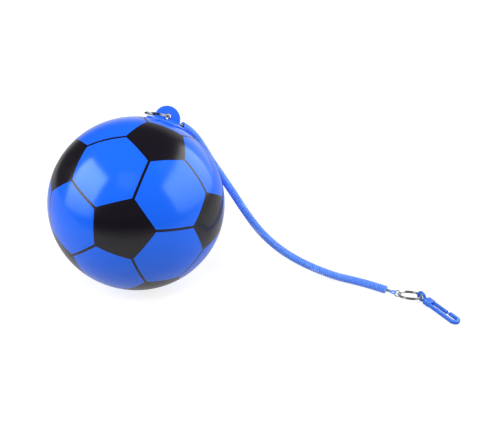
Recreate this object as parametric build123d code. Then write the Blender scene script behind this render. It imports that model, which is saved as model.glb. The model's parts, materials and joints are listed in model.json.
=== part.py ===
# Tetherball set: an inflated PVC ball with a welded ear, a spiral tether cord and a swivel snap hook.
# Millimetres, +Z up. The origin is the middle of the small flat that the soft ball rests on.
# The ear leans to the back and right; the cord lies round the ball's right side and along the ground.
import os
from math import acos, atan, cos, degrees, pi, radians, sin, sqrt, tan

from build123d import *

# ---- Driving dimensions -------------------------------------------------------------------------

# Ball
BALL_R = 100.0               # 8 inch class toy ball
SKIN = 0.8                   # PVC wall
REST_FLAT_R = 16.0           # contact patch of the softly inflated ball
BALL_Z = sqrt(BALL_R**2 - REST_FLAT_R**2)
REST_WALL = 1.0              # wall left above the rest flat
PRINT = 0.15                 # raised thickness of the printed ink
PRINT_AZIMUTH = 38.3         # direction of the hexagon that the pattern is laid out from
PRINT_ELEVATION = 61.6
PRINT_ROLL = 23.9            # turn of the pattern about that direction
SEAM_WIDTH = 2.7             # printed line between two hexagons

# Ear, welded near the top
EAR_AZIMUTH = 43.5
EAR_ELEVATION = 63.0
EAR_TURN = -127.0            # turn of the tab's width about the ear's axis
EAR_PATCH_R = 23.0
EAR_PATCH = 2.0              # patch thickness
TAB_HALF_WIDTH = 15.0
TAB_ARC_Z = 103.5            # centre of the tab's round top, from the ball's centre
TAB = 3.0                    # tab thickness
TAB_HOLE_R = 3.2
TAB_HOLE_Z = 106.3

# Inflation valve, in a hexagon at the back
VALVE_PENTAGONS = (0, 5, 6)
VALVE_BORE_R = 2.0
PLUG_CLEARANCE = 0.04
SEAT_R = 5.5
SEAT_FLANGE_R = 9.0
PLUG_HEAD_R = 3.4

# Split rings
RING_R = 13.1                # mean radius of a 28 mm ring
RING_RADIAL = 1.8            # width of the flat wire
RING_AXIAL = 2.8             # two turns of 1.4 mm wire
RING_GROOVE = 0.2            # slit between the turns
EAR_RING_DROP = 10.0         # the ring lies back towards the ball by this much

# Spiral cord
COIL_R = 5.0
WIRE_R = 1.2
COIL_FLOOR_Z = 5.05          # axis height where the coil lies on the ground
ROUTE = [                    # corner points of the coil's axis, from the ear to the ground
    (49.2, 51.3, 177.7), (55.2, 55.6, 172.5), (63.6, 61.6, 161.6), (71.6, 64.9, 147.2),
    (79.8, 63.2, 133.2), (89.0, 55.8, 121.6), (99.2, 42.7, 110.6), (110.6, 28.4, 98.6),
    (123.4, 17.2, 81.6), (139.4, 10.2, 60.8), (159.6, 6.2, 41.0), (183.4, 3.4, 24.8),
    (208.8, 0.6, 12.6), (233.6, -4.6, COIL_FLOOR_Z), (255.2, -15.2, COIL_FLOOR_Z),
    (274.0, -26.3, COIL_FLOOR_Z), (288.3, -36.8, COIL_FLOOR_Z),
]
ARC_SHARE = 0.45             # share of the shorter run that each arc may use

# Wire ends of the cord
EYE_R = 2.9                  # mean radius of the wire's end eye
EYE_WIRE_R = 1.0
FERRULE_R = 2.3
FERRULE_LENGTH = 4.8
FERRULE_GAP = 0.6
LINK_R = 3.4
LINK_WIRE_R = 0.6
LINK_GAP = 0.1               # play between the eye and the link

# Far split ring
HOOK_RING_CENTRE = (312.94, -49.56, 5.3)
HOOK_RING_YAW = -20.5
HOOK_RING_PITCH = 3.4
HOOK_RING_ROLL = -13.0

# Swivel snap hook
HOOK_YAW = -60.3
HOOK_PITCH = 4.7             # nose-down slope of the hook as it lies
SWIVEL_EYE_R = 4.6
SWIVEL_EYE_WIRE_R = 1.7
SWIVEL_EYE_X = -6.9          # eye's centre, before the barrel's face
BARREL_R = 2.8
BARREL_LENGTH = 5.6
POST_R = 1.2
POST_HEAD_R = 1.7
SWIVEL_CLEARANCE = 0.05
HOOK_WIDTH = 12.8
HOOK_LENGTH = 47.0           # from the barrel's face to the outside of the bend
BAR = 4.0                    # width and thickness of the hook's bar
HOOK_PLATE = 4.8             # thickness of the root that carries the gate
ROOT_X = 9.4                 # where the root ends
ROOT_Y = 4.8                 # side of the root next to the gate
NOSE_X = 30.4                # where the nose ends
PIN_X = 6.9
PIN_Y = 2.4
PIN_R = 0.8
PIN_CLEARANCE = 0.05
HEEL_R = 1.9
GATE_TIP_X = 28.2
GATE_INNER_Y = 1.5
GATE_OUTER_Y = 4.8
TONGUE = 1.8                 # thickness of the gate's root between the cheeks
LATCH = 1.2                  # thickness of the nose's latch blade
LATCH_Y = 3.0                # inner side of the blade

nodes = {}
joints = {}


# ---- Directions and frames ----------------------------------------------------------------------

def direction(azimuth, elevation):
    a, e = radians(azimuth), radians(elevation)
    return Vector(cos(e) * cos(a), cos(e) * sin(a), sin(e))


def turned_frame(origin, axis, turn):
    """Frame with +Z along axis; +X is the level tangent turned by turn degrees about the axis."""
    level = Vector(0, 0, 1).cross(axis).normalized()
    side = axis.cross(level)
    t = radians(turn)
    return Plane(origin=origin, x_dir=level * cos(t) + side * sin(t), z_dir=axis)


def lying_frame(origin, yaw, pitch, roll):
    """Frame whose +X points along yaw and down by pitch, rolled about +X."""
    ahead = direction(yaw, -pitch)
    left = Vector(0, 0, 1).cross(ahead).normalized()
    up = ahead.cross(left)
    r = radians(roll)
    return Plane(origin=origin, x_dir=ahead, z_dir=up * cos(r) - left * sin(r))


CENTRE = Vector(0, 0, BALL_Z)
EAR = turned_frame(CENTRE, direction(EAR_AZIMUTH, EAR_ELEVATION), EAR_TURN)
PATTERN = turned_frame(CENTRE, direction(PRINT_AZIMUTH, PRINT_ELEVATION), PRINT_ROLL)


def place(frame, shape):
    return frame.location * shape


# ---- Soccer pattern -----------------------------------------------------------------------------

def pentagon_directions():
    """Twelve icosahedron corners about a face's axis, which is a hexagon's centre."""
    near = degrees(acos(sqrt((5 + 2 * sqrt(5)) / 15)))
    far = degrees(acos(sqrt((5 - 2 * sqrt(5)) / 15)))
    rows = [(near, 0), (far, 60), (180 - far, 0), (180 - near, 60)]
    local = [direction(k * 120 + start, 90 - polar) for polar, start in rows for k in range(3)]
    return [PATTERN.from_local_coords(v) - CENTRE for v in local]


PENTAGONS = pentagon_directions()
EDGE_ANGLE = degrees(atan(2))


def neighbours(i):
    return [j for j in range(12) if j != i and PENTAGONS[i].get_angle(PENTAGONS[j]) < EDGE_ANGLE + 1]


def corner(i, j):
    """Corner of pentagon i on the way to pentagon j."""
    return (PENTAGONS[i] * 2 + PENTAGONS[j]).normalized()


def around(axis, points):
    """The points in order round the axis."""
    ref = Plane(origin=(0, 0, 0), z_dir=axis)
    local = [(ref.to_local_coords(p), p) for p in points]
    return [p for q, p in sorted(local, key=lambda pair: Vector(pair[0].X, pair[0].Y).get_signed_angle(
        Vector(1, 0), Vector(0, 0, 1)))]


def shell_between(low, high):
    return Sphere(high) - Sphere(low)


def above_ground(shape):
    return shape & Pos(0, 0, BALL_R * 2) * Box(BALL_R * 6, BALL_R * 6, BALL_R * 4)


def cone_of(points):
    """Pyramid from the ball's centre out through the points."""
    reach = BALL_R * 1.25
    outer = [p * reach for p in points]
    sides = [Face(Wire.make_polygon([(0, 0, 0), outer[k], outer[k - 1]])) for k in range(len(outer))]
    return Solid(Shell([Face(Wire.make_polygon(outer))] + sides))


def pentagon_film(i, film):
    points = around(PENTAGONS[i], [corner(i, j) for j in neighbours(i)])
    return film & cone_of(points)


def seam_film(i, j, film):
    a, b = corner(i, j), corner(j, i)
    middle = (a + b).normalized()
    length = (b - a).length * BALL_R - 0.3
    frame = Plane(origin=middle * BALL_R, x_dir=(b - a).normalized(), z_dir=middle)
    return film & place(frame, Box(length, SEAM_WIDTH, 8))


def make_print():
    film = shell_between(BALL_R, BALL_R + PRINT)
    to_ball = Pos(*CENTRE)
    pents = [above_ground(to_ball * pentagon_film(i, film)) for i in range(12)]
    pairs = [(i, j) for i in range(12) for j in neighbours(i) if i < j]
    seams = [above_ground(to_ball * seam_film(i, j, film)) for i, j in pairs]
    nodes["pentagon_print"] = pents
    nodes["seam_print"] = seams


# ---- Ball, valve and ear ------------------------------------------------------------------------

VALVE_AXIS = sum((PENTAGONS[k] for k in VALVE_PENTAGONS), Vector(0, 0, 0)).normalized()
VALVE = Plane(origin=CENTRE, z_dir=VALVE_AXIS)
HEAD_FLOOR = BALL_R - 1.8
HEAD_TOP = BALL_R - 0.5


def tube_z(radius, low, high):
    return Pos(0, 0, (low + high) / 2) * Cylinder(radius, high - low)


def make_ball():
    cavity = Sphere(BALL_R - SKIN) & Pos(0, 0, REST_WALL - BALL_Z + BALL_R) * Box(
        BALL_R * 3, BALL_R * 3, BALL_R * 2)
    skin = above_ground(Pos(*CENTRE) * (Sphere(BALL_R) - cavity))
    nodes["ball_skin"] = skin - place(VALVE, tube_z(SEAT_R, BALL_R - 20, BALL_R + 5))


def make_valve():
    inside = BALL_R - 10
    stem = tube_z(SEAT_R, inside, BALL_R + 1) & Sphere(BALL_R)
    flange = tube_z(SEAT_FLANGE_R, BALL_R - 4.0, BALL_R - 0.6) & Sphere(BALL_R - SKIN)
    bore = tube_z(VALVE_BORE_R, inside - 1, BALL_R + 1)
    recess = tube_z(PLUG_HEAD_R + 0.2, HEAD_FLOOR, BALL_R + 1)
    nodes["valve_seat"] = place(VALVE, stem + flange - bore - recess)
    plug = tube_z(VALVE_BORE_R - PLUG_CLEARANCE, inside + 1, HEAD_FLOOR + 0.5)
    nodes["valve_plug"] = place(VALVE, plug + tube_z(PLUG_HEAD_R, HEAD_FLOOR + 0.05, HEAD_TOP))


def make_ear():
    top = BALL_R + EAR_PATCH
    disc = shell_between(BALL_R, top) & tube_z(EAR_PATCH_R, BALL_R * 0.8, top + 1)
    nodes["ear_patch"] = place(EAR, disc)
    low = BALL_R - 2
    outline = Pos(0, (low + TAB_ARC_Z) / 2) * Rectangle(TAB_HALF_WIDTH * 2, TAB_ARC_Z - low)
    outline += Pos(0, TAB_ARC_Z) * Circle(TAB_HALF_WIDTH)
    outline -= Pos(0, TAB_HOLE_Z) * Circle(TAB_HOLE_R)
    upright = Plane(origin=(0, TAB / 2, 0), x_dir=(1, 0, 0), z_dir=(0, -1, 0))
    tab = extrude(upright * outline, TAB) - Sphere(top)
    rim = [e for e in tab.edges().filter_by(GeomType.CIRCLE) if e.radius > TAB_HALF_WIDTH - 1]
    nodes["ear_tab"] = place(EAR, fillet([e for e in rim if e.center().Z > TAB_ARC_Z], 0.7))


# ---- Rings, links and wire ends -----------------------------------------------------------------

def split_ring():
    """A two-turn flat-wire ring about +Z, shown closed, with the slit between its turns."""
    outer, inner = RING_R + RING_RADIAL / 2, RING_R - RING_RADIAL / 2
    ring = Cylinder(outer, RING_AXIAL) - Cylinder(inner, RING_AXIAL + 1)
    slit = Cylinder(outer + 1, RING_GROOVE) - Cylinder(outer - RING_GROOVE, RING_GROOVE * 2)
    return ring - slit


# The ring through the ear: its plane holds the hole's axis, and it lies back over the crown.
drop = radians(EAR_RING_DROP)
EAR_RING_LOCAL = Plane(
    origin=(-RING_R * cos(drop), 0, TAB_HOLE_Z - RING_R * sin(drop)),
    x_dir=(cos(drop), 0, sin(drop)), z_dir=(-sin(drop), 0, cos(drop)))
EAR_HOLE = EAR.from_local_coords(Vector(0, 0, TAB_HOLE_Z))
EAR_HOLE_AXIS = (EAR.from_local_coords(Vector(0, 1, 0)) - CENTRE).normalized()


def wire_eye(tail):
    """Bare end of the cord's wire along +X: a straight tail that ends in a small closed eye."""
    stem = Pos(tail / 2, 0, 0) * Rot(0, 90, 0) * Cylinder(EYE_WIRE_R, tail)
    return stem + Pos(tail + EYE_R, 0, 0) * Torus(EYE_R, EYE_WIRE_R)


def ferrule():
    start = FERRULE_GAP
    body = Pos(start + FERRULE_LENGTH / 2, 0, 0) * Rot(0, 90, 0) * (
        Cylinder(FERRULE_R, FERRULE_LENGTH) - Cylinder(EYE_WIRE_R, FERRULE_LENGTH + 1))
    return chamfer([e for e in body.edges().filter_by(GeomType.CIRCLE) if e.radius > FERRULE_R - 0.1], 0.4)


def link_start(tail):
    """Where the link's wire touches the inside of the end eye."""
    return tail + 2 * EYE_R - EYE_WIRE_R - LINK_WIRE_R - LINK_GAP


def cord_frame(end, inner):
    """Frame at an end of the coil, +X pointing away from the coil."""
    away = (Vector(*end) - Vector(*inner)).normalized()
    left = Vector(0, 0, 1).cross(away).normalized()
    return Plane(origin=end, x_dir=away, z_dir=away.cross(left))


NEAR = cord_frame(ROUTE[0], ROUTE[1])
FAR = cord_frame(ROUTE[-1], ROUTE[-2])
HOOK_RING = lying_frame(HOOK_RING_CENTRE, HOOK_RING_YAW, -HOOK_RING_PITCH, HOOK_RING_ROLL)
FAR_TAIL = FERRULE_GAP + FERRULE_LENGTH + EYE_WIRE_R + 0.1
LINK_REACH = LINK_R + 0.9    # from the eye's contact to the split ring's wire


def near_point():
    """Where the near link takes the ear ring: on its arc behind the tab, beside the hole."""
    best = None
    for step in range(5, 60):
        angle = radians(step)
        local = EAR_RING_LOCAL.from_local_coords(Vector(RING_R * cos(angle), RING_R * sin(angle), 0))
        point = EAR.from_local_coords(local)
        tangent = EAR_RING_LOCAL.from_local_coords(Vector(-sin(angle), cos(angle), 0)) - EAR_RING_LOCAL.origin
        tangent = EAR.from_local_coords(tangent) - CENTRE
        lean = abs(tangent.dot((Vector(*ROUTE[0]) - point).normalized()))
        if best is None or lean < best[0]:
            best = (lean, point, tangent.normalized())
    return best[1], best[2]


EAR_RING_POINT, EAR_RING_TANGENT = near_point()


def link_between(eye_point, ring_point, across):
    """Link from the eye to the ring's wire; across is the ring wire's own direction there."""
    along = (ring_point - eye_point).normalized()
    flat = (across - along * across.dot(along)).normalized()
    frame = Plane(origin=eye_point + along * LINK_R, x_dir=along, z_dir=flat)
    return place(frame, Torus(LINK_R, LINK_WIRE_R))


def make_cord_ends():
    towards_ring = NEAR.x_dir
    near_tail = (EAR_RING_POINT - Vector(*ROUTE[0])).dot(towards_ring) - LINK_REACH - link_start(0)
    nodes["near_wire_eye"] = place(NEAR, wire_eye(near_tail))
    nodes["near_ferrule"] = place(NEAR, ferrule())
    near_contact = NEAR.from_local_coords(Vector(link_start(near_tail), 0, 0))
    nodes["near_link"] = link_between(near_contact, EAR_RING_POINT, EAR_RING_TANGENT)
    nodes["far_wire_eye"] = place(FAR, wire_eye(FAR_TAIL))
    nodes["far_ferrule"] = place(FAR, ferrule())
    far_contact = FAR.from_local_coords(Vector(link_start(FAR_TAIL), 0, 0))
    ring_point = HOOK_RING.from_local_coords(Vector(-RING_R, 0, 0))
    ring_way = HOOK_RING.from_local_coords(Vector(0, 1, 0)) - HOOK_RING.origin
    nodes["far_link"] = link_between(far_contact, ring_point, ring_way)
    print("near tail", round(near_tail, 2), "near reach", round((EAR_RING_POINT - near_contact).length, 2),
          "far reach", round((ring_point - far_contact).length, 2), "wanted", LINK_REACH)
    joints["near link"] = (EAR_RING_POINT, EAR_RING_TANGENT)
    joints["cord"] = (near_contact, CENTRE - near_contact)
    eye_wire = FAR.from_local_coords(Vector(FAR_TAIL + 2 * EYE_R, 0, 0))
    joints["far link"] = (eye_wire, FAR.from_local_coords(Vector(0, 1, 0)) - FAR.origin)
    joints["hook ring"] = (ring_point, ring_way)


def make_rings():
    nodes["ear_split_ring"] = place(EAR, place(EAR_RING_LOCAL, split_ring()))
    nodes["hook_split_ring"] = place(HOOK_RING, split_ring())


# ---- Coil ---------------------------------------------------------------------------------------

def make_coil():
    points = [Vector(*p) for p in ROUTE]
    runs = [points[k + 1] - points[k] for k in range(len(points) - 1)]
    radii = []
    for before, after in zip(runs, runs[1:]):
        half_turn = radians(before.get_angle(after)) / 2
        radii.append(ARC_SHARE * min(before.length, after.length) / tan(half_turn))
    path = FilletPolyline(*points, radius=radii)
    section = Plane(origin=points[0], z_dir=runs[0]) * Circle(COIL_R)
    coil = sweep(section, path=path)
    print("runs", [round(r.length, 1) for r in runs])
    print("radii", [round(r, 1) for r in radii])
    expected = pi * COIL_R**2 * path.length
    print("coil length", round(path.length, 1), "volume", round(coil.volume, 1), "section x length",
          round(expected, 1))
    nodes["spiral_cord"] = coil


# ---- Snap hook ----------------------------------------------------------------------------------

EYE_SPOT = HOOK_RING.from_local_coords(Vector(RING_R, 0, 0))
HOOK_AHEAD = direction(HOOK_YAW, -HOOK_PITCH)
EYE_CENTRE = EYE_SPOT - HOOK_AHEAD * 0.4
EYE_CENTRE = Vector(EYE_CENTRE.X, EYE_CENTRE.Y, SWIVEL_EYE_R + SWIVEL_EYE_WIRE_R + 0.05)
HOOK = lying_frame(EYE_CENTRE - HOOK_AHEAD * SWIVEL_EYE_X, HOOK_YAW, HOOK_PITCH, 0)
HALF = HOOK_WIDTH / 2


def rod_x(radius, low, high):
    return Pos((low + high) / 2, 0, 0) * Rot(0, 90, 0) * Cylinder(radius, high - low)


def slab(low_x, high_x, low_y, high_y, thickness):
    return Pos((low_x + high_x) / 2, (low_y + high_y) / 2, 0) * Box(
        high_x - low_x, high_y - low_y, thickness)


def make_swivel():
    ring = Pos(SWIVEL_EYE_X, 0, 0) * Rot(90, 0, 0) * Torus(SWIVEL_EYE_R, SWIVEL_EYE_WIRE_R)
    neck = rod_x(2.2, SWIVEL_EYE_X + SWIVEL_EYE_R, -0.3)
    post = rod_x(POST_R, -0.4, 4.0)
    head = rod_x(POST_HEAD_R, 2.6, 4.0)
    nodes["swivel_eye"] = place(HOOK, ring + neck + post + head)


def make_hook():
    bend_x = HOOK_LENGTH - HALF
    outer = Pos(bend_x, 0) * Circle(HALF) + Pos((bend_x + 1.5) / 2, 0) * Rectangle(bend_x - 1.5, HOOK_WIDTH)
    window_start = ROOT_X - 1.4
    window = Pos(bend_x, 0) * Circle(HALF - BAR)
    window += Pos((bend_x + window_start) / 2, 0) * Rectangle(bend_x - window_start, HOOK_WIDTH - 2 * BAR)
    mouth = Pos((ROOT_X + NOSE_X) / 2, HALF) * Rectangle(NOSE_X - ROOT_X, HOOK_WIDTH)
    shoulder = Pos(ROOT_X / 2, ROOT_Y + HALF / 2) * Rectangle(ROOT_X + 1, HALF)
    frame = extrude(outer - window - mouth - shoulder, BAR / 2, both=True)
    frame = fillet(frame.edges().filter_by(Plane.XY), 1.1)
    root = slab(0.3, ROOT_X, -HALF + 0.3, ROOT_Y, HOOK_PLATE)
    root = fillet(root.edges().filter_by(Axis.Z), 1.4)
    barrel = rod_x(BARREL_R, 0, BARREL_LENGTH)
    bore = rod_x(POST_R + SWIVEL_CLEARANCE, -1, 3)
    pocket = rod_x(POST_HEAD_R + SWIVEL_CLEARANCE, 2.5, 4.2)
    cheeks = slab(PIN_X - HEEL_R - 0.3, ROOT_X + 1, GATE_INNER_Y - 2.2, HALF + 1, TONGUE + 0.3)
    latch = slab(NOSE_X - 3.6, NOSE_X + 1.5, LATCH_Y, LATCH_Y + 1.3, LATCH)
    pin_hole = Pos(PIN_X, PIN_Y, 0) * Cylinder(PIN_R, HOOK_PLATE * 2)
    body = frame + root + barrel + latch - cheeks - bore - pocket - pin_hole
    nodes["hook_frame"] = place(HOOK, body)
    nodes["gate_pin"] = place(HOOK, Pos(PIN_X, PIN_Y, 0) * Cylinder(PIN_R, HOOK_PLATE))
    joints["swivel"] = (EYE_SPOT, HOOK_RING.from_local_coords(Vector(0, 1, 0)) - HOOK_RING.origin)
    joints["hook"] = (HOOK.origin, HOOK.x_dir)
    joints["gate"] = (HOOK.from_local_coords(Vector(PIN_X, PIN_Y, 0)), HOOK.z_dir)


def make_gate():
    lever = slab(ROOT_X + 0.6, GATE_TIP_X, GATE_INNER_Y, GATE_OUTER_Y, BAR)
    lever = fillet(lever.edges().filter_by(Axis.X), 1.0)
    tongue = slab(PIN_X, ROOT_X + 2, GATE_INNER_Y - 0.6, GATE_OUTER_Y - 0.1, TONGUE)
    heel = Pos(PIN_X, PIN_Y, 0) * Cylinder(HEEL_R, TONGUE)
    slot = slab(NOSE_X - 3.8, GATE_TIP_X + 1, LATCH_Y - 0.15, HALF + 1, LATCH + 0.4)
    spring_pocket = Pos(PIN_X, PIN_Y, 0) * Cylinder(1.55, 1.0)
    hole = Pos(PIN_X, PIN_Y, 0) * Cylinder(PIN_R + PIN_CLEARANCE, TONGUE * 2)
    nodes["snap_gate"] = place(HOOK, lever + tongue + heel - slot - spring_pocket - hole)
    coil = Cylinder(1.35, 0.8) - Cylinder(PIN_R + 0.12, 2.0)
    nodes["gate_spring"] = place(HOOK, Pos(PIN_X, PIN_Y, 0) * coil)


# ---- Build and write ----------------------------------------------------------------------------

def main():
    make_ball()
    make_print()
    make_valve()
    make_ear()
    make_rings()
    make_coil()
    make_cord_ends()
    make_swivel()
    make_hook()
    make_gate()
    os.makedirs("parts", exist_ok=True)
    for name, shape in nodes.items():
        solids = shape if isinstance(shape, list) else [shape]
        whole = [s for item in solids for s in item.solids()]
        export_step(whole[0] if len(whole) == 1 else Compound(children=whole), f"parts/{name}.step")
    joints["ear ring"] = (EAR_HOLE, EAR_HOLE_AXIS)
    joints["valve plug"] = (CENTRE + VALVE_AXIS * BALL_R, VALVE_AXIS)
    for name, (spot, axis) in joints.items():
        print("joint", name, [round(v / 1000, 6) for v in spot], [round(v, 6) for v in axis.normalized()])


main()
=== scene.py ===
"""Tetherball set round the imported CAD.

A glossy inflated ball with its welded ear, two split rings, a spiral cord and a swivel snap hook.
"""
import json
from math import acos, atan, cos, degrees, pi, radians, sin, sqrt

import bpy
import numpy as np
from mathutils import Matrix, Vector


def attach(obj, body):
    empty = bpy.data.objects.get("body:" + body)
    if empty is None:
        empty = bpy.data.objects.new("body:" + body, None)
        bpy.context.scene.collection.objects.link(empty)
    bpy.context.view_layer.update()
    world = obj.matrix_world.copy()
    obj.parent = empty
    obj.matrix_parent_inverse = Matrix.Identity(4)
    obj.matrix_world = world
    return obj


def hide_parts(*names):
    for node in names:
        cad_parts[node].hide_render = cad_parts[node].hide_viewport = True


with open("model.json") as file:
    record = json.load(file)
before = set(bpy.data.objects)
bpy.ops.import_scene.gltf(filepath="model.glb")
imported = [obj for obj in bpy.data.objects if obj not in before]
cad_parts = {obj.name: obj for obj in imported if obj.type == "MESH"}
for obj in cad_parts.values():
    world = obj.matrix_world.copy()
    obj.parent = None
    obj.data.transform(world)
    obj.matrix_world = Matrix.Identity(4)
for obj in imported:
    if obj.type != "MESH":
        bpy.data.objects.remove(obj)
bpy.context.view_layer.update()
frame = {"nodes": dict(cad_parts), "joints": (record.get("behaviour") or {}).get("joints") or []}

NODES = frame["nodes"]
JOINTS = {j["name"]: j for j in frame["joints"]}
MM = 0.001

# ---- The same driving sizes as the CAD, in millimetres ------------------------------------------

BALL_R = 100.0
REST_FLAT_R = 16.0
CENTRE = Vector((0, 0, sqrt(BALL_R**2 - REST_FLAT_R**2)))
SEAM_WIDTH = 2.7
PATCH_R, PATCH = 23.0, 2.0
TAB_HALF_WIDTH, TAB_ARC_Z, TAB = 15.0, 103.5, 3.0
HOLE_R, HOLE_Z = 3.2, 106.3
RING_R, RING_RADIAL, RING_AXIAL = 13.1, 1.8, 2.8
EAR_RING_DROP = 10.0
COIL_R, WIRE_R, END_WIRE_R = 5.0, 1.2, 1.0
EYE_R, FERRULE_GAP, FERRULE_LENGTH = 2.9, 0.6, 4.8
LINK_R, LINK_WIRE_R = 3.4, 0.6
SEAT_R = 5.5
UP = Vector((0, 0, 1))
ROUTE = [
    (49.2, 51.3, 177.7), (55.2, 55.6, 172.5), (63.6, 61.6, 161.6), (71.6, 64.9, 147.2),
    (79.8, 63.2, 133.2), (89.0, 55.8, 121.6), (99.2, 42.7, 110.6), (110.6, 28.4, 98.6),
    (123.4, 17.2, 81.6), (139.4, 10.2, 60.8), (159.6, 6.2, 41.0), (183.4, 3.4, 24.8),
    (208.8, 0.6, 12.6), (233.6, -4.6, 5.05), (255.2, -15.2, 5.05), (274.0, -26.3, 5.05),
    (288.3, -36.8, 5.05),
]


def joint_spot(name):
    return Vector(JOINTS[name]["pos_m"]) / MM


def direction(azimuth, elevation):
    a, e = radians(azimuth), radians(elevation)
    return Vector((cos(e) * cos(a), cos(e) * sin(a), sin(e)))


def axes(origin, x, z):
    """Local-to-row matrix with those X and Z directions."""
    z = Vector(z).normalized()
    x = Vector(x)
    x = (x - z * x.dot(z)).normalized()
    m = Matrix((x, z.cross(x), z)).transposed().to_4x4()
    m.translation = origin
    return m


def turned_frame(origin, axis, turn):
    """+Z along axis; +X is the level tangent turned by turn degrees about the axis."""
    level = UP.cross(axis).normalized()
    t = radians(turn)
    return axes(origin, level * cos(t) + axis.cross(level) * sin(t), axis)


EAR = turned_frame(CENTRE, direction(43.5, 63.0), -127.0)
PATTERN = turned_frame(CENTRE, direction(38.3, 61.6), 23.9)


# ---- Camera, as the photograph was taken --------------------------------------------------------

camera_data = bpy.data.cameras.new("camera")
camera_data.sensor_width = 36.0
camera_data.lens = 39.22
camera_data.clip_start = 0.01
camera = bpy.data.objects.new("camera", camera_data)
camera.location = (0.1306, -0.5912, 0.3352)
camera.rotation_euler = (radians(67.0), 0, 0)
bpy.context.scene.collection.objects.link(camera)
bpy.context.scene.camera = camera
bpy.context.scene.view_settings.view_transform = "Standard"


# ---- Materials ----------------------------------------------------------------------------------

def linear(*display):
    """Linear colour of display values 0 to 255."""
    shares = [c / 255 for c in display]
    return (*(c / 12.92 if c <= 0.04 else ((c + 0.055) / 1.055) ** 2.4 for c in shares), 1.0)


RELIEF_DEPTH = 0.0002


def smooth_range(nodes, links, value, start, end, low, high):
    """Output that eases from low to high as value goes from start to end."""
    ease = nodes.new("ShaderNodeMapRange")
    ease.interpolation_type = "SMOOTHSTEP"
    for socket, number in (("From Min", start), ("From Max", end), ("To Min", low), ("To Max", high)):
        ease.inputs[socket].default_value = number
    links.new(value, ease.inputs["Value"])
    return ease.outputs["Result"]


def material(name, colour, rough, vary, vary_scale, bump=0.0, bump_scale=900.0, metallic=0.0,
             rough_spread=0.0, rough_scale=60.0, gloss_tint=(1, 1, 1, 1)):
    """Principled material with noise-driven tint, roughness and fine relief."""
    m = bpy.data.materials.new(name)
    m.use_nodes = True
    nodes, links = m.node_tree.nodes, m.node_tree.links
    b = nodes["Principled BSDF"]
    b.inputs["Base Color"].default_value = colour
    b.inputs["Roughness"].default_value = rough
    b.inputs["Metallic"].default_value = metallic
    b.inputs["Specular Tint"].default_value = gloss_tint
    place = nodes.new("ShaderNodeTexCoord")

    def noise(scale, detail=3.0):
        n = nodes.new("ShaderNodeTexNoise")
        n.inputs["Scale"].default_value = scale
        n.inputs["Detail"].default_value = detail
        links.new(place.outputs["Object"], n.inputs["Vector"])
        return n.outputs["Fac"]

    mix = nodes.new("ShaderNodeMix")
    mix.data_type = "RGBA"
    mix.inputs[6].default_value = colour
    mix.inputs[7].default_value = vary
    links.new(noise(vary_scale), mix.inputs[0])
    links.new(mix.outputs[2], b.inputs["Base Color"])
    if rough_spread:
        span = nodes.new("ShaderNodeMapRange")
        span.inputs["To Min"].default_value = max(0.02, rough - rough_spread)
        span.inputs["To Max"].default_value = rough + rough_spread
        links.new(noise(rough_scale, 5.0), span.inputs["Value"])
        links.new(span.outputs["Result"], b.inputs["Roughness"])
    if bump:
        relief = nodes.new("ShaderNodeBump")
        relief.inputs["Strength"].default_value = bump
        relief.inputs["Distance"].default_value = RELIEF_DEPTH
        links.new(noise(bump_scale), relief.inputs["Height"])
        links.new(relief.outputs["Normal"], b.inputs["Normal"])
    return m


BLUE = material("ball_blue", linear(24, 97, 236), 0.15, linear(32, 104, 242), 6,
                bump=0.05, bump_scale=1400, rough_spread=0.03, gloss_tint=(0.62, 1.0, 1.0, 1))
INK = material("print_black", linear(17, 14, 21), 0.2, linear(24, 20, 29), 25,
               bump=0.06, bump_scale=1200, rough_spread=0.04)
EAR_BLUE = material("ear_blue", linear(40, 104, 236), 0.2, linear(52, 116, 240), 60,
                    bump=0.12, bump_scale=900, rough_spread=0.04)
VALVE_BLUE = material("valve_blue", linear(38, 98, 225), 0.38, linear(48, 108, 232), 120,
                      bump=0.2, bump_scale=1500, rough_spread=0.06)
CORD_BLUE = material("cord_blue", linear(92, 144, 250), 0.2, linear(102, 154, 254), 30,
                     bump=0.1, bump_scale=1500, rough_spread=0.05)
HOOK_BLUE = material("hook_blue", linear(32, 98, 206), 0.24, linear(42, 108, 216), 80,
                     bump=0.2, bump_scale=1800, rough_spread=0.06)
STEEL = material("ring_steel", linear(176, 176, 172), 0.2, linear(150, 152, 150), 300,
                 bump=0.1, bump_scale=3000, metallic=1.0, rough_spread=0.07, rough_scale=400)
CRIMP = material("crimp_metal", linear(150, 160, 150), 0.34, linear(112, 124, 118), 500,
                 bump=0.35, bump_scale=2500, metallic=1.0, rough_spread=0.1, rough_scale=600)
PIN_STEEL = material("pin_steel", linear(150, 150, 152), 0.28, linear(128, 128, 132), 400,
                     bump=0.2, bump_scale=4000, metallic=1.0, rough_spread=0.08, rough_scale=500)


# ---- Mesh helpers -------------------------------------------------------------------------------

def add_mesh(name, points, faces, mats, body, nodes=(), face_mats=None, normals=None):
    """Mesh piece in the row frame from millimetre points; rides on body and stands for nodes."""
    mesh = bpy.data.meshes.new(name)
    mesh.from_pydata([(p[0] * MM, p[1] * MM, p[2] * MM) for p in points], [], faces)
    for m in mats:
        mesh.materials.append(m)
    if face_mats is not None:
        mesh.polygons.foreach_set("material_index", face_mats)
    mesh.polygons.foreach_set("use_smooth", [True] * len(mesh.polygons))
    mesh.update()
    if normals is not None:
        mesh.normals_split_custom_set_from_vertices(normals)
    obj = bpy.data.objects.new(name, mesh)
    bpy.context.scene.collection.objects.link(obj)
    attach(obj, body)
    if nodes:
        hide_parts(*nodes)
    return obj


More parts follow.
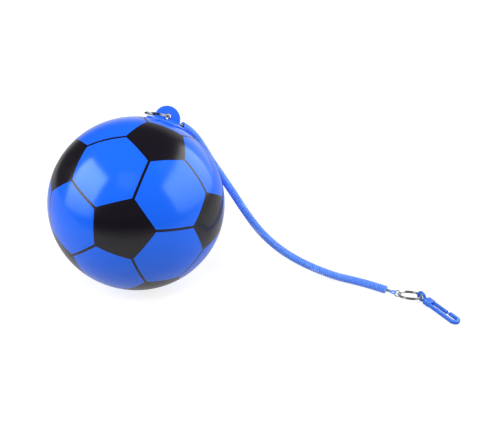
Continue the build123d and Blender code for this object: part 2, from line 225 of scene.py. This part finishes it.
def grid_faces(rows, cols, close_rows=False):
    """Quads between neighbouring rings of points; close_rows joins the last ring to the first."""
    faces = []
    for r in range(rows if close_rows else rows - 1):
        for c in range(cols):
            a, b = r * cols + c, r * cols + (c + 1) % cols
            d, e = ((r + 1) % rows) * cols + c, ((r + 1) % rows) * cols + (c + 1) % cols
            faces.append((a, b, e, d))
    return faces


def lathe(profile, frame_m, count, closed=False):
    """Points and faces of a profile of (radius, height) turned about the frame's Z."""
    points = []
    for r, h in profile:
        for k in range(count):
            a = 2 * pi * k / count
            points.append(frame_m @ Vector((r * cos(a), r * sin(a), h)))
    return points, grid_faces(len(profile), count, close_rows=closed)


def spline_points(name, controls, resolution):
    """Points along a NURBS spline through a curve object with no bevel."""
    curve = bpy.data.curves.new(name, "CURVE")
    curve.dimensions = "3D"
    curve.resolution_u = resolution
    spline = curve.splines.new("NURBS")
    spline.points.add(len(controls) - 1)
    for point, c in zip(spline.points, controls):
        point.co = (*(Vector(c) * MM), 1.0)
    spline.order_u = 3
    spline.use_endpoint_u = True
    obj = bpy.data.objects.new(name, curve)
    bpy.context.scene.collection.objects.link(obj)
    mesh = bpy.data.meshes.new_from_object(obj)
    found = [v.co / MM for v in mesh.vertices]
    bpy.data.objects.remove(obj)
    bpy.data.meshes.remove(mesh)
    return found


def carried_frames(points, first=None):
    """Unit tangent and two carried normals at each point."""
    frames = []
    side = first
    for k in range(len(points)):
        t = (points[min(k + 1, len(points) - 1)] - points[max(k - 1, 0)]).normalized()
        if side is None:
            side = t.orthogonal()
        side = (side - t * side.dot(t)).normalized()
        frames.append((t, side, t.cross(side)))
    return frames


def capped(rows, sides):
    """Faces of an open run of rings with both ends closed."""
    last = (rows - 1) * sides
    return grid_faces(rows, sides) + [tuple(reversed(range(sides))), tuple(range(last, last + sides))]


def tube(points, radii, sides):
    """Points and faces of a tube with a radius at each point."""
    out = []
    for p, r, (_, n, b) in zip(points, radii, carried_frames(points)):
        for s in range(sides):
            a = 2 * pi * s / sides
            out.append(p + n * (r * cos(a)) + b * (r * sin(a)))
    return out, capped(len(points), sides)


# ---- Spiral cord: one wire, eye to eye ----------------------------------------------------------

PITCH = 2.6
TURN_POINTS = 26         # stations in one turn of the coil
COIL_MEAN_R = COIL_R - WIRE_R
LEAD = 2.6               # the end wire keeps the coil's direction this far
SWEEP = 4.2              # and by here it is half way in to the axis
FERRULE_SIDE = 0.98      # the two runs of wire lie this far either side of the ferrule's axis
EYE_SLACK = 1.04         # the spline cuts inside its controls by this much
TAPER_POINTS = 40        # stations over which the wire thins towards its ends


def stations(points, step):
    """Points every step along the line, ends included."""
    lengths = [0.0]
    for a, b in zip(points, points[1:]):
        lengths.append(lengths[-1] + (b - a).length)
    count = max(2, round(lengths[-1] / step))
    out, k = [], 0
    for n in range(count + 1):
        s = lengths[-1] * n / count
        while k < len(points) - 2 and lengths[k + 1] < s:
            k += 1
        f = (s - lengths[k]) / max(1e-9, lengths[k + 1] - lengths[k])
        out.append(points[k].lerp(points[k + 1], min(1.0, f)))
    return out


axis_points = stations(spline_points("cord_axis", ROUTE, 16), PITCH / TURN_POINTS)
helix = []
for k, (p, (_, n, b)) in enumerate(zip(axis_points, carried_frames(axis_points, UP))):
    turn = 2 * pi * k / TURN_POINTS
    helix.append(p + n * (COIL_MEAN_R * cos(turn)) + b * (COIL_MEAN_R * sin(turn)))


def end_frame(end, inner):
    """Frame at an end of the route, with +X away from the coil."""
    away = (Vector(end) - Vector(inner)).normalized()
    return axes(Vector(end), away, away.cross(UP.cross(away)))


NEAR, FAR = end_frame(ROUTE[0], ROUTE[1]), end_frame(ROUTE[-1], ROUTE[-2])


def end_wire(frame_m, contact, coil_end, coil_way):
    """Wire from the coil's last turn through the ferrule, round the eye and back into the ferrule.

    The link touches the inside of the eye at contact.
    """
    reach = (frame_m.inverted() @ contact).x
    eye = reach - EYE_R + END_WIRE_R + LINK_WIRE_R
    neck = FERRULE_GAP + FERRULE_LENGTH
    start = frame_m.inverted() @ coil_end
    way = (frame_m.inverted().to_3x3() @ coil_way).normalized()
    half_in = Vector((0.5, -start.y / 2, -start.z / 2))
    controls = [start, start + way * LEAD, start + way * SWEEP + half_in,
                Vector((0.2, FERRULE_SIDE, 0)), Vector((neck, FERRULE_SIDE, 0))]
    for angle in (150, 120, 85, 45, 0, -45, -85, -120, -150):
        a = radians(angle)
        controls.append(Vector((eye + EYE_R * EYE_SLACK * cos(a), EYE_R * EYE_SLACK * sin(a), 0)))
    controls += [Vector((neck, -FERRULE_SIDE, 0)), Vector((FERRULE_GAP + 0.5, -FERRULE_SIDE, 0))]
    return spline_points("end_wire", [frame_m @ c for c in controls], 14)


# The cord turns about the near contact. The far link's joint is a wire and a hair beyond its contact.
near_contact = joint_spot("cord_swing")
far_contact = joint_spot("far_link_lift") - FAR.to_3x3() @ Vector((END_WIRE_R + LINK_WIRE_R + 0.1, 0, 0))
near_wire = end_wire(NEAR, near_contact, helix[0], helix[0] - helix[1])
far_wire = end_wire(FAR, far_contact, helix[-1], helix[-1] - helix[-2])
wire_points = near_wire[::-1][:-1] + helix + far_wire[1:]
near_count, far_count = len(near_wire) - 1, len(far_wire) - 1
wire_radii = []
for k in range(len(wire_points)):
    from_coil = max(0, near_count - k, k - (len(wire_points) - 1 - far_count))
    wire_radii.append(WIRE_R - (WIRE_R - END_WIRE_R) * min(1.0, from_coil / TAPER_POINTS))
points, faces = tube(wire_points, wire_radii, 10)
cord = add_mesh("spiral_wire", points, faces, [CORD_BLUE], "cord",
                ("spiral_cord", "near_wire_eye", "far_wire_eye"))
print("wire, mm:", round(sum((b - a).length for a, b in zip(wire_points, wire_points[1:]))))


# ---- Ball: truncated icosahedron on the sphere, print and skin in one surface -------------------

VALVE_AXIS = Vector(JOINTS["plug_pull"]["axis"]).normalized()
VALVE = turned_frame(CENTRE, VALVE_AXIS, 0)
VALVE_NEAR = 0.05        # a hexagon whose middle is within this angle of the valve has its opening
BALL_DIVISIONS = 4
REST_SOFT = 0.4          # how softly the skin turns into its contact patch


def pentagon_directions():
    """Directions of the twelve pentagons' middles, in four rows of three about the pattern's pole."""
    near = acos(sqrt((5 + 2 * sqrt(5)) / 15))
    far = acos(sqrt((5 - 2 * sqrt(5)) / 15))
    rows = [(near, 0), (far, 60), (pi - far, 0), (pi - near, 60)]
    turn = PATTERN.to_3x3()
    return [turn @ direction(k * 120 + start, 90 - degrees(polar))
            for polar, start in rows for k in range(3)]


PENTAGONS = pentagon_directions()
NEXT_ANGLE = atan(2) + 0.02


def are_next(i, j):
    """Whether a seam joins pentagons i and j."""
    return i != j and PENTAGONS[i].angle(PENTAGONS[j]) < NEXT_ANGLE


def corner(i, j):
    """Pentagon i's corner on the seam to pentagon j."""
    return (PENTAGONS[i] * 2 + PENTAGONS[j]).normalized()


def trimmed(i, j, k):
    """Where the side of seam i-j meets pentagon i's edge towards its corner k."""
    a, b = corner(i, j), corner(i, k)
    across = PENTAGONS[i].cross(PENTAGONS[j]).normalized()
    return a.lerp(b, SEAM_WIDTH / 2 / BALL_R / abs(across.dot(b - a))).normalized()


def on_rim(v):
    """The direction moved onto the valve's round opening."""
    side = (v - VALVE_AXIS * v.dot(VALVE_AXIS)).normalized()
    s = SEAT_R / BALL_R
    return VALVE_AXIS * sqrt(1 - s * s) + side * s


def ball_triangles():
    """Directions, triangles, their ink flags and the valve rim's points, before division."""
    points, index, triangles, inks, rim = [], {}, [], [], set()

    def vertex(key, v):
        if key not in index:
            index[key] = len(points)
            points.append(v)
        return index[key]

    def edge_point(i, j, k):
        return vertex(("e", i, j, k), trimmed(i, j, k))

    def corner_point(i, j):
        return vertex(("c", i, j), corner(i, j))

    def add(a, b, c, ink):
        pa, pb, pc = points[a], points[b], points[c]
        if (pb - pa).cross(pc - pa).dot(pa) < 0:
            b, c = c, b
        triangles.append((a, b, c))
        inks.append(ink)

    def fan(middle, ring, ink):
        for k in range(len(ring)):
            add(middle, ring[k - 1], ring[k], ink)

    for i in range(12):
        flat = axes((0, 0, 0), PENTAGONS[i].orthogonal(), PENTAGONS[i]).inverted()
        around = sorted((j for j in range(12) if are_next(i, j)),
                        key=lambda j: np.arctan2((flat @ PENTAGONS[j]).y, (flat @ PENTAGONS[j]).x))
        ring = []
        for j, k in zip(around, around[1:] + around[:1]):
            ring += [corner_point(i, j), edge_point(i, j, k), edge_point(i, k, j)]
        fan(vertex(("p", i), PENTAGONS[i]), ring, 1)
    for i in range(12):
        for j in range(i + 1, 12):
            if not are_next(i, j):
                continue
            k, m = [n for n in range(12) if are_next(n, i) and are_next(n, j)]
            a, b = edge_point(i, j, k), edge_point(j, i, k)
            c, d = edge_point(j, i, m), edge_point(i, j, m)
            add(corner_point(i, j), a, d, 1)
            add(a, b, c, 1)
            add(a, c, d, 1)
            add(corner_point(j, i), b, c, 1)
            for n in (k, m):
                if n < j:
                    continue
                ring = [edge_point(i, j, n), edge_point(i, n, j), edge_point(n, i, j), edge_point(n, j, i),
                        edge_point(j, n, i), edge_point(j, i, n)]
                middle = (PENTAGONS[i] + PENTAGONS[j] + PENTAGONS[n]).normalized()
                if middle.angle(VALVE_AXIS) > VALVE_NEAR:
                    fan(vertex(("h", i, j, n), middle), ring, 0)
                    continue
                inner = [vertex(("v", q), on_rim(points[q])) for q in ring]
                rim.update(inner)
                for q in range(6):
                    add(ring[q - 1], ring[q], inner[q], 0)
                    add(ring[q - 1], inner[q], inner[q - 1], 0)
    return points, triangles, inks, rim


def divide(points, triangles, inks, rim):
    """Each triangle in four, on the sphere."""
    middles = {}

    def middle(a, b):
        key = (min(a, b), max(a, b))
        if key not in middles:
            middles[key] = len(points)
            v = (points[a] + points[b]).normalized()
            if a in rim and b in rim:
                v = on_rim(v)
                rim.add(len(points))
            points.append(v)
        return middles[key]

    out, out_inks = [], []
    for (a, b, c), ink in zip(triangles, inks):
        d, e, f = middle(a, b), middle(b, c), middle(c, a)
        out += [(a, d, f), (d, b, e), (f, e, c), (d, e, f)]
        out_inks += [ink] * 4
    return points, out, out_inks, rim


def make_ball():
    """The divided sphere, eased down to a flat where it rests."""
    surface = ball_triangles()
    for _ in range(BALL_DIVISIONS):
        surface = divide(*surface)
    directions, triangles, inks, _ = surface
    points, normals = [], []
    for n in directions:
        p = CENTRE + n * BALL_R
        root = sqrt(p.z * p.z + REST_SOFT * REST_SOFT)
        slope = 0.5 * (1 + p.z / root)
        points.append((p.x, p.y, 0.5 * (p.z + root)))
        normals.append(Vector((n.x * slope, n.y * slope, n.z)).normalized())
    add_mesh("ball", points, triangles, [BLUE, INK], "ball",
             ("ball_skin", "pentagon_print", "seam_print"), inks, normals)


make_ball()

# Radius and distance from the ball's middle, round the seat's section: bore, barrel, flange, lip, recess.
SEAT_PROFILE = [
    (2.0, 90.2), (5.2, 90.2), (5.45, 90.6), (5.45, 95.6), (8.8, 95.9), (8.8, 98.0),
    (5.75, 98.4), (5.55, 99.5), (5.25, 99.9), (4.8, 100.05), (4.3, 100.0), (3.85, 99.75),
    (3.66, 99.3), (3.62, 98.2), (2.15, 98.15), (2.0, 97.9),
]
points, faces = lathe(SEAT_PROFILE, VALVE, 48, closed=True)
add_mesh("valve_seat_ring", points, faces, [VALVE_BLUE], "ball", ("valve_seat",))
# The stopper's stem, its head in the recess, and the dimple in the head.
PLUG_PROFILE = [
    (0.01, 91.0), (1.7, 91.05), (1.95, 91.4), (1.95, 98.25), (3.3, 98.3), (3.42, 98.5),
    (3.42, 99.1), (3.2, 99.4), (2.7, 99.52), (1.1, 99.5), (0.85, 99.3), (0.7, 99.05), (0.01, 99.0),
]
points, faces = lathe(PLUG_PROFILE, VALVE, 40)
add_mesh("valve_stopper", points, faces, [VALVE_BLUE], "valve_plug", ("valve_plug",))


# ---- Ear: patch and tab -------------------------------------------------------------------------

WELD_IN, WELD_OUT = 17.2, 20.6         # the pressed band's radii
WELD_DEPTH, WELD_EASE = 0.3, 0.5
PATCH_RIM, PATCH_RIM_DROP = 0.9, 0.12
PATCH_STEP = 0.7


def clamp(value):
    return max(0.0, min(1.0, value))


def patch_profile(base_r, top_r):
    """Profile of the patch: underside out, round rim, top back in with a pressed weld band."""
    out = [(r, sqrt(base_r**2 - r * r)) for r in np.arange(0.01, PATCH_R, PATCH_STEP)]
    out.append((PATCH_R, sqrt(base_r**2 - PATCH_R**2)))
    lift = top_r - base_r - PATCH_RIM - PATCH_RIM_DROP
    for a in (0, 30, 60, 90):
        r = PATCH_R - PATCH_RIM * (1 - cos(radians(a)))
        out.append((r, sqrt(base_r**2 - r * r) + lift + PATCH_RIM * sin(radians(a))))
    for r in np.arange(PATCH_R - 1.4, 0, -PATCH_STEP / 2):
        pressed = clamp((r - WELD_IN) / WELD_EASE) * clamp((WELD_OUT - r) / WELD_EASE)
        out.append((r, sqrt((top_r - WELD_DEPTH * pressed) ** 2 - r * r)))
    out.append((0.01, top_r))
    return out


points, faces = lathe(patch_profile(BALL_R - 0.05, BALL_R + PATCH), EAR, 96)
add_mesh("ear_patch_disc", points, faces, [EAR_BLUE], "ball", ("ear_patch",))


def tab_outline(angle):
    """Distance from the hole's centre to the tab's outline, at an angle in the tab's plane."""
    dx, dz = cos(angle), sin(angle)
    low = BALL_R + 0.6
    best = 1e9
    if abs(dx) > 1e-9:
        t = TAB_HALF_WIDTH / abs(dx)
        if HOLE_Z + t * dz <= TAB_ARC_Z:
            best = min(best, t)
    if dz < 0:
        best = min(best, (low - HOLE_Z) / dz)
    rise = HOLE_Z - TAB_ARC_Z
    b, c = rise * dz, rise * rise - TAB_HALF_WIDTH**2
    t = -b + sqrt(b * b - c)
    if rise + t * dz >= 0:
        best = min(best, t)
    return best


TAB_EDGE_R, HOLE_EDGE_R = 0.75, 0.45   # rounding of the tab's outline and of its hole
SKIRT, SKIRT_HEIGHT = 1.7, 2.0         # thickening where the tab stands on the patch
LIP, LIP_MIDDLE, LIP_HALF = 0.25, 1.2, 1.1


def make_tab():
    """Rings of points run through the hole, out over the front face, round the edge and back."""
    count, half = 120, TAB / 2
    outline = [tab_outline(2 * pi * k / count) for k in range(count)]
    rows = []

    def row(height, kind, share=0.0):
        """One ring at height times half the thickness; share goes from the hole to the outline."""
        inset = 1 - sqrt(max(0.0, 1 - height * height))
        ring = []
        for k in range(count):
            a = 2 * pi * k / count
            if kind == "outline":
                r = outline[k] - TAB_EDGE_R * inset
            elif kind == "hole":
                r = HOLE_R + HOLE_EDGE_R * inset
            else:
                low, high = HOLE_R + HOLE_EDGE_R, outline[k] - TAB_EDGE_R
                r = low + (high - low) * share
            x, z = r * cos(a), HOLE_Z + r * sin(a)
            above = max(0.0, sqrt(x * x + z * z) - (BALL_R + PATCH))
            thick = half + SKIRT * max(0.0, 1 - above / SKIRT_HEIGHT) ** 2
            if kind == "face":
                thick += LIP * max(0.0, 1 - abs(r - HOLE_R - LIP_MIDDLE) / LIP_HALF)
            ring.append(EAR @ Vector((x, height * thick * (1.0 if kind == "face" else 0.98), z)))
        rows.append(ring)

    heights = (0.0, 0.25, 0.5, 0.72, 0.88, 1.0)
    shares = [float(s) for s in np.linspace(0, 1, 16)]
    for h in heights:
        row(h, "hole")
    for s in shares:
        row(1.0, "face", s)
    for h in heights[::-1] + tuple(-h for h in heights[1:]):
        row(h, "outline")
    for s in shares[::-1]:
        row(-1.0, "face", s)
    for h in heights[:0:-1]:
        row(-h, "hole")
    points = [p for ring in rows for p in ring]
    faces = grid_faces(len(rows), count, close_rows=True)
    add_mesh("ear_tab_plate", points, faces, [EAR_BLUE], "ball", ("ear_tab",))


make_tab()


# ---- Split rings and links ----------------------------------------------------------------------

RING_CROSS = 42.0                      # half the angle over which the wire changes level
RING_STEPS, RING_SIDES = 190, 14
RING_END_SLIM = (0.55, 0.85, 0.97)     # the wire's end is rounded over its last stations


def make_split_ring(name, frame_m, crossing, body, node):
    """One flat wire wound twice, which crosses from the lower turn to the upper one at crossing degrees."""
    level = RING_AXIAL / 4
    wide, tall = RING_RADIAL / 2, RING_AXIAL / 4 - 0.02
    rows = []
    for k in range(RING_STEPS + 1):
        u = (360 - RING_CROSS) * (2 * k / RING_STEPS - 1)
        f = clamp((u + RING_CROSS) / (2 * RING_CROSS))
        z = level * (2 * (f * f * (3 - 2 * f)) - 1)
        a = radians(crossing + u)
        out = Vector((cos(a), sin(a), 0))
        end = min(k, RING_STEPS - k)
        slim = RING_END_SLIM[end] if end < len(RING_END_SLIM) else 1.0
        ring = []
        for s in range(RING_SIDES):
            q = 2 * pi * s / RING_SIDES
            c, w = cos(q), sin(q)
            ring.append(frame_m @ (out * (RING_R + wide * slim * np.sign(c) * abs(c) ** 0.6)
                                   + Vector((0, 0, z + tall * slim * np.sign(w) * abs(w) ** 0.6))))
        rows.append(ring)
    points = [p for ring in rows for p in ring]
    add_mesh(name, points, capped(len(rows), RING_SIDES), [STEEL], body, (node,))


drop = radians(EAR_RING_DROP)
ring_local = axes((-RING_R * cos(drop), 0, HOLE_Z - RING_R * sin(drop)),
                  (cos(drop), 0, sin(drop)), (-sin(drop), 0, cos(drop)))
make_split_ring("ear_key_ring", EAR @ ring_local, 200, "ear_ring", "ear_split_ring")

far_ring_point, eye_spot = joint_spot("hook_ring_lift"), joint_spot("swivel_lift")
ring_middle = (far_ring_point + eye_spot) / 2
ring_x = (eye_spot - far_ring_point).normalized()
ring_y = Vector(JOINTS["hook_ring_lift"]["axis"]) * -1
HOOK_RING = axes(ring_middle, ring_x, ring_x.cross(ring_y))
make_split_ring("hook_key_ring", HOOK_RING, 163, "hook_ring", "hook_split_ring")


def make_link(name, contact, ring_point, across, body, node):
    """Round wire bent to a ring with a hairline butt joint."""
    along = (ring_point - contact).normalized()
    m = axes(contact + along * LINK_R, along, across)
    angles = [radians(a) for a in np.linspace(62, 416, 60)]
    line = [m @ Vector((LINK_R * cos(a), LINK_R * sin(a), 0)) for a in angles]
    points, faces = tube(line, [LINK_WIRE_R] * len(line), 12)
    add_mesh(name, points, faces, [STEEL], body, (node,))


make_link("near_wire_link", near_contact, joint_spot("near_link_lift"),
          Vector(JOINTS["near_link_lift"]["axis"]), "near_link", "near_link")
make_link("far_wire_link", far_contact, far_ring_point, ring_y, "far_link", "far_link")


# ---- Ferrules -----------------------------------------------------------------------------------

FERRULE_WIDE, FERRULE_TALL, FERRULE_WALL = 2.25, 1.42, 0.35
DENTS, DENT_WIDTH, DENT_DEPTH = (0.3, 0.7), 0.085, 0.34
END_EASE, END_EASE_LENGTH = 0.18, 0.3


def make_ferrule(name, frame_m, node):
    """Oval sleeve pressed over the wire and its return, with two crimp dents and eased ends."""
    count = 40
    outer, inner = [], []
    for s in np.linspace(0, 1, 25):
        x = FERRULE_GAP + FERRULE_LENGTH * float(s)
        end = min(s, 1 - s) * FERRULE_LENGTH
        ease = END_EASE * max(0.0, 1 - end / END_EASE_LENGTH) ** 2
        dent = sum(np.exp(-((s - c) / DENT_WIDTH) ** 2) for c in DENTS)
        wide, tall = FERRULE_WIDE - ease + 0.08 * dent, FERRULE_TALL - ease
        row_out, row_in = [], []
        for k in range(count):
            a = 2 * pi * k / count
            y, z = cos(a), sin(a)
            press = DENT_DEPTH * dent * abs(z) ** 1.5
            inside = (FERRULE_WIDE - FERRULE_WALL) * y, (FERRULE_TALL - 0.38 - press * 0.6) * z
            row_out.append(frame_m @ Vector((x, wide * y, (tall - press) * z)))
            row_in.append(frame_m @ Vector((x, *inside)))
        outer.append(row_out)
        inner.append(row_in)
    rows = outer + inner[::-1]
    points = [p for r in rows for p in r]
    faces = grid_faces(len(rows), count, close_rows=True)
    add_mesh(name, points, faces, [CRIMP], "cord", (node,))


make_ferrule("near_crimp", NEAR, "near_ferrule")
make_ferrule("far_crimp", FAR, "far_ferrule")


# ---- Carried-over CAD nodes ---------------------------------------------------------------------

def finish_node(name, mat):
    """Keeps a CAD node's shape and gives it a material."""
    obj = NODES[name]
    obj.data.materials.clear()
    obj.data.materials.append(mat)


for name in ("swivel_eye", "hook_frame", "snap_gate"):
    finish_node(name, HOOK_BLUE)
finish_node("gate_pin", PIN_STEEL)
finish_node("gate_spring", PIN_STEEL)


# ---- Stage and light ----------------------------------------------------------------------------

FLOOR_HALF, FLOOR_DROP = 30.0, -0.0002
FLOOR_SEEN, FLOOR_BOUNCE = 1.15, 0.46  # the floor's glow to the camera, and to the set
FLOOR_DARK_Y = (-0.42, -0.28)          # in front of this the floor gives the ball no reflection


def new_node(nodes, kind, **settings):
    node = nodes.new(kind)
    for key, value in settings.items():
        setattr(node, key, value)
    return node


def rectangle(name, w, h, z=0.0):
    mesh = bpy.data.meshes.new(name)
    mesh.from_pydata([(-w, -h, z), (w, -h, z), (w, h, z), (-w, h, z)], [], [(0, 1, 2, 3)])
    return mesh


def camera_or_set(nodes, links, seen, unseen):
    """Output that is seen to the camera and the unseen socket's value to every other ray."""
    path = nodes.new("ShaderNodeLightPath")
    pick = new_node(nodes, "ShaderNodeMix", data_type="FLOAT")
    pick.inputs[3].default_value = seen
    links.new(path.outputs["Is Camera Ray"], pick.inputs[0])
    links.new(unseen, pick.inputs[2])
    return pick.outputs[0]


floor_mesh = rectangle("floor", FLOOR_HALF, FLOOR_HALF, FLOOR_DROP)
floor = bpy.data.objects.new("floor", floor_mesh)
bpy.context.scene.collection.objects.link(floor)
floor_white = material("floor_white", (0.9, 0.9, 0.9, 1), 0.8, (0.92, 0.92, 0.92, 1), 2)
floor_mesh.materials.append(floor_white)
fn, fl = floor_white.node_tree.nodes, floor_white.node_tree.links
fn["Principled BSDF"].inputs["Specular IOR Level"].default_value = 0.0
place = fn["Texture Coordinate"].outputs["Object"]
far_from_set = new_node(fn, "ShaderNodeVectorMath", operation="LENGTH")
fl.new(place, far_from_set.inputs[0])
glow_share = smooth_range(fn, fl, far_from_set.outputs["Value"], 0.25, 0.9, 0.7, 1.0)
split_floor = fn.new("ShaderNodeSeparateXYZ")
fl.new(place, split_floor.inputs[0])
bounce = smooth_range(fn, fl, split_floor.outputs["Y"], *FLOOR_DARK_Y, 0.0, FLOOR_BOUNCE)
glow = fn.new("ShaderNodeEmission")
fl.new(camera_or_set(fn, fl, FLOOR_SEEN, bounce), glow.inputs["Strength"])
blend = fn.new("ShaderNodeMixShader")
fl.new(glow_share, blend.inputs[0])
fl.new(fn["Principled BSDF"].outputs[0], blend.inputs[1])
fl.new(glow.outputs[0], blend.inputs[2])
fl.new(blend.outputs[0], fn["Material Output"].inputs["Surface"])

# The studio is white to the camera. What the set reflects of it is dark, apart from the part behind
# and to the right.
world = bpy.data.worlds.new("studio")
bpy.context.scene.world = world
world.use_nodes = True
wn, wl = world.node_tree.nodes, world.node_tree.links
back = wn["Background"]
where = wn.new("ShaderNodeTexCoord")
behind_right = new_node(wn, "ShaderNodeVectorMath", operation="DOT_PRODUCT")
wl.new(where.outputs["Generated"], behind_right.inputs[0])
behind_right.inputs[1].default_value = (0.2, 0.9, -0.35)
ramp = smooth_range(wn, wl, behind_right.outputs["Value"], 0.4, 0.95, 0.05, 1.0)
wl.new(camera_or_set(wn, wl, 1.0, ramp), back.inputs["Strength"])
back.inputs["Color"].default_value = (1, 1, 1, 1)

TARGET = Vector((0.02, 0.0, 0.1))


def facing_target(obj, azimuth, elevation, distance):
    """Puts the object out from the target, turned to face it, and links it to the scene."""
    way = direction(azimuth, elevation)
    obj.location = TARGET + way * distance
    obj.rotation_euler = way.to_track_quat("Z", "Y").to_euler()
    bpy.context.scene.collection.objects.link(obj)


def softbox(name, azimuth, elevation, distance, width, height, strength, low_share, edge):
    """Glowing panel that faces the ball, soft at its sides and dimmer towards its lower edge."""
    w, h = width / 2, height / 2
    mesh = rectangle(name, w, h)
    mat = bpy.data.materials.new(name)
    mat.use_nodes = True
    nodes, links = mat.node_tree.nodes, mat.node_tree.links
    nodes.remove(nodes["Principled BSDF"])
    spot = nodes.new("ShaderNodeTexCoord")
    parts = nodes.new("ShaderNodeSeparateXYZ")
    links.new(spot.outputs["Object"], parts.inputs[0])

    def fade(axis, *limits):
        return smooth_range(nodes, links, parts.outputs[axis], *limits)

    total = fade("X", -w, -w + edge, 0, 1)
    for factor in (fade("X", w - edge, w, 1, 0), fade("Y", h - edge, h, 1, 0),
                   fade("Y", -h, h * 0.5, low_share, 1), fade("Y", -h, -h + edge, 0, strength)):
        product = new_node(nodes, "ShaderNodeMath", operation="MULTIPLY")
        links.new(total, product.inputs[0])
        links.new(factor, product.inputs[1])
        total = product.outputs[0]
    glow = nodes.new("ShaderNodeEmission")
    links.new(total, glow.inputs["Strength"])
    links.new(glow.outputs[0], nodes["Material Output"].inputs["Surface"])
    mesh.materials.append(mat)
    obj = bpy.data.objects.new(name, mesh)
    facing_target(obj, azimuth, elevation, distance)
    obj.visible_camera = False


def fill(name, azimuth, elevation, distance, size, power):
    """Broad light that leaves no mirror image."""
    light = bpy.data.lights.new(name, "AREA")
    light.size, light.energy = size, power
    obj = bpy.data.objects.new(name, light)
    facing_target(obj, azimuth, elevation, distance)
    obj.visible_glossy = False


softbox("left_box", azimuth=203, elevation=25, distance=1.3, width=1.15, height=1.35,
        strength=5.6, low_share=0.25, edge=0.14)
softbox("right_box", azimuth=6, elevation=23, distance=1.3, width=2.4, height=1.4,
        strength=3.6, low_share=0.35, edge=0.25)
fill("front_fill", azimuth=-95, elevation=50, distance=1.6, size=0.6, power=12)
fill("right_fill", azimuth=-15, elevation=55, distance=1.5, size=0.5, power=6)
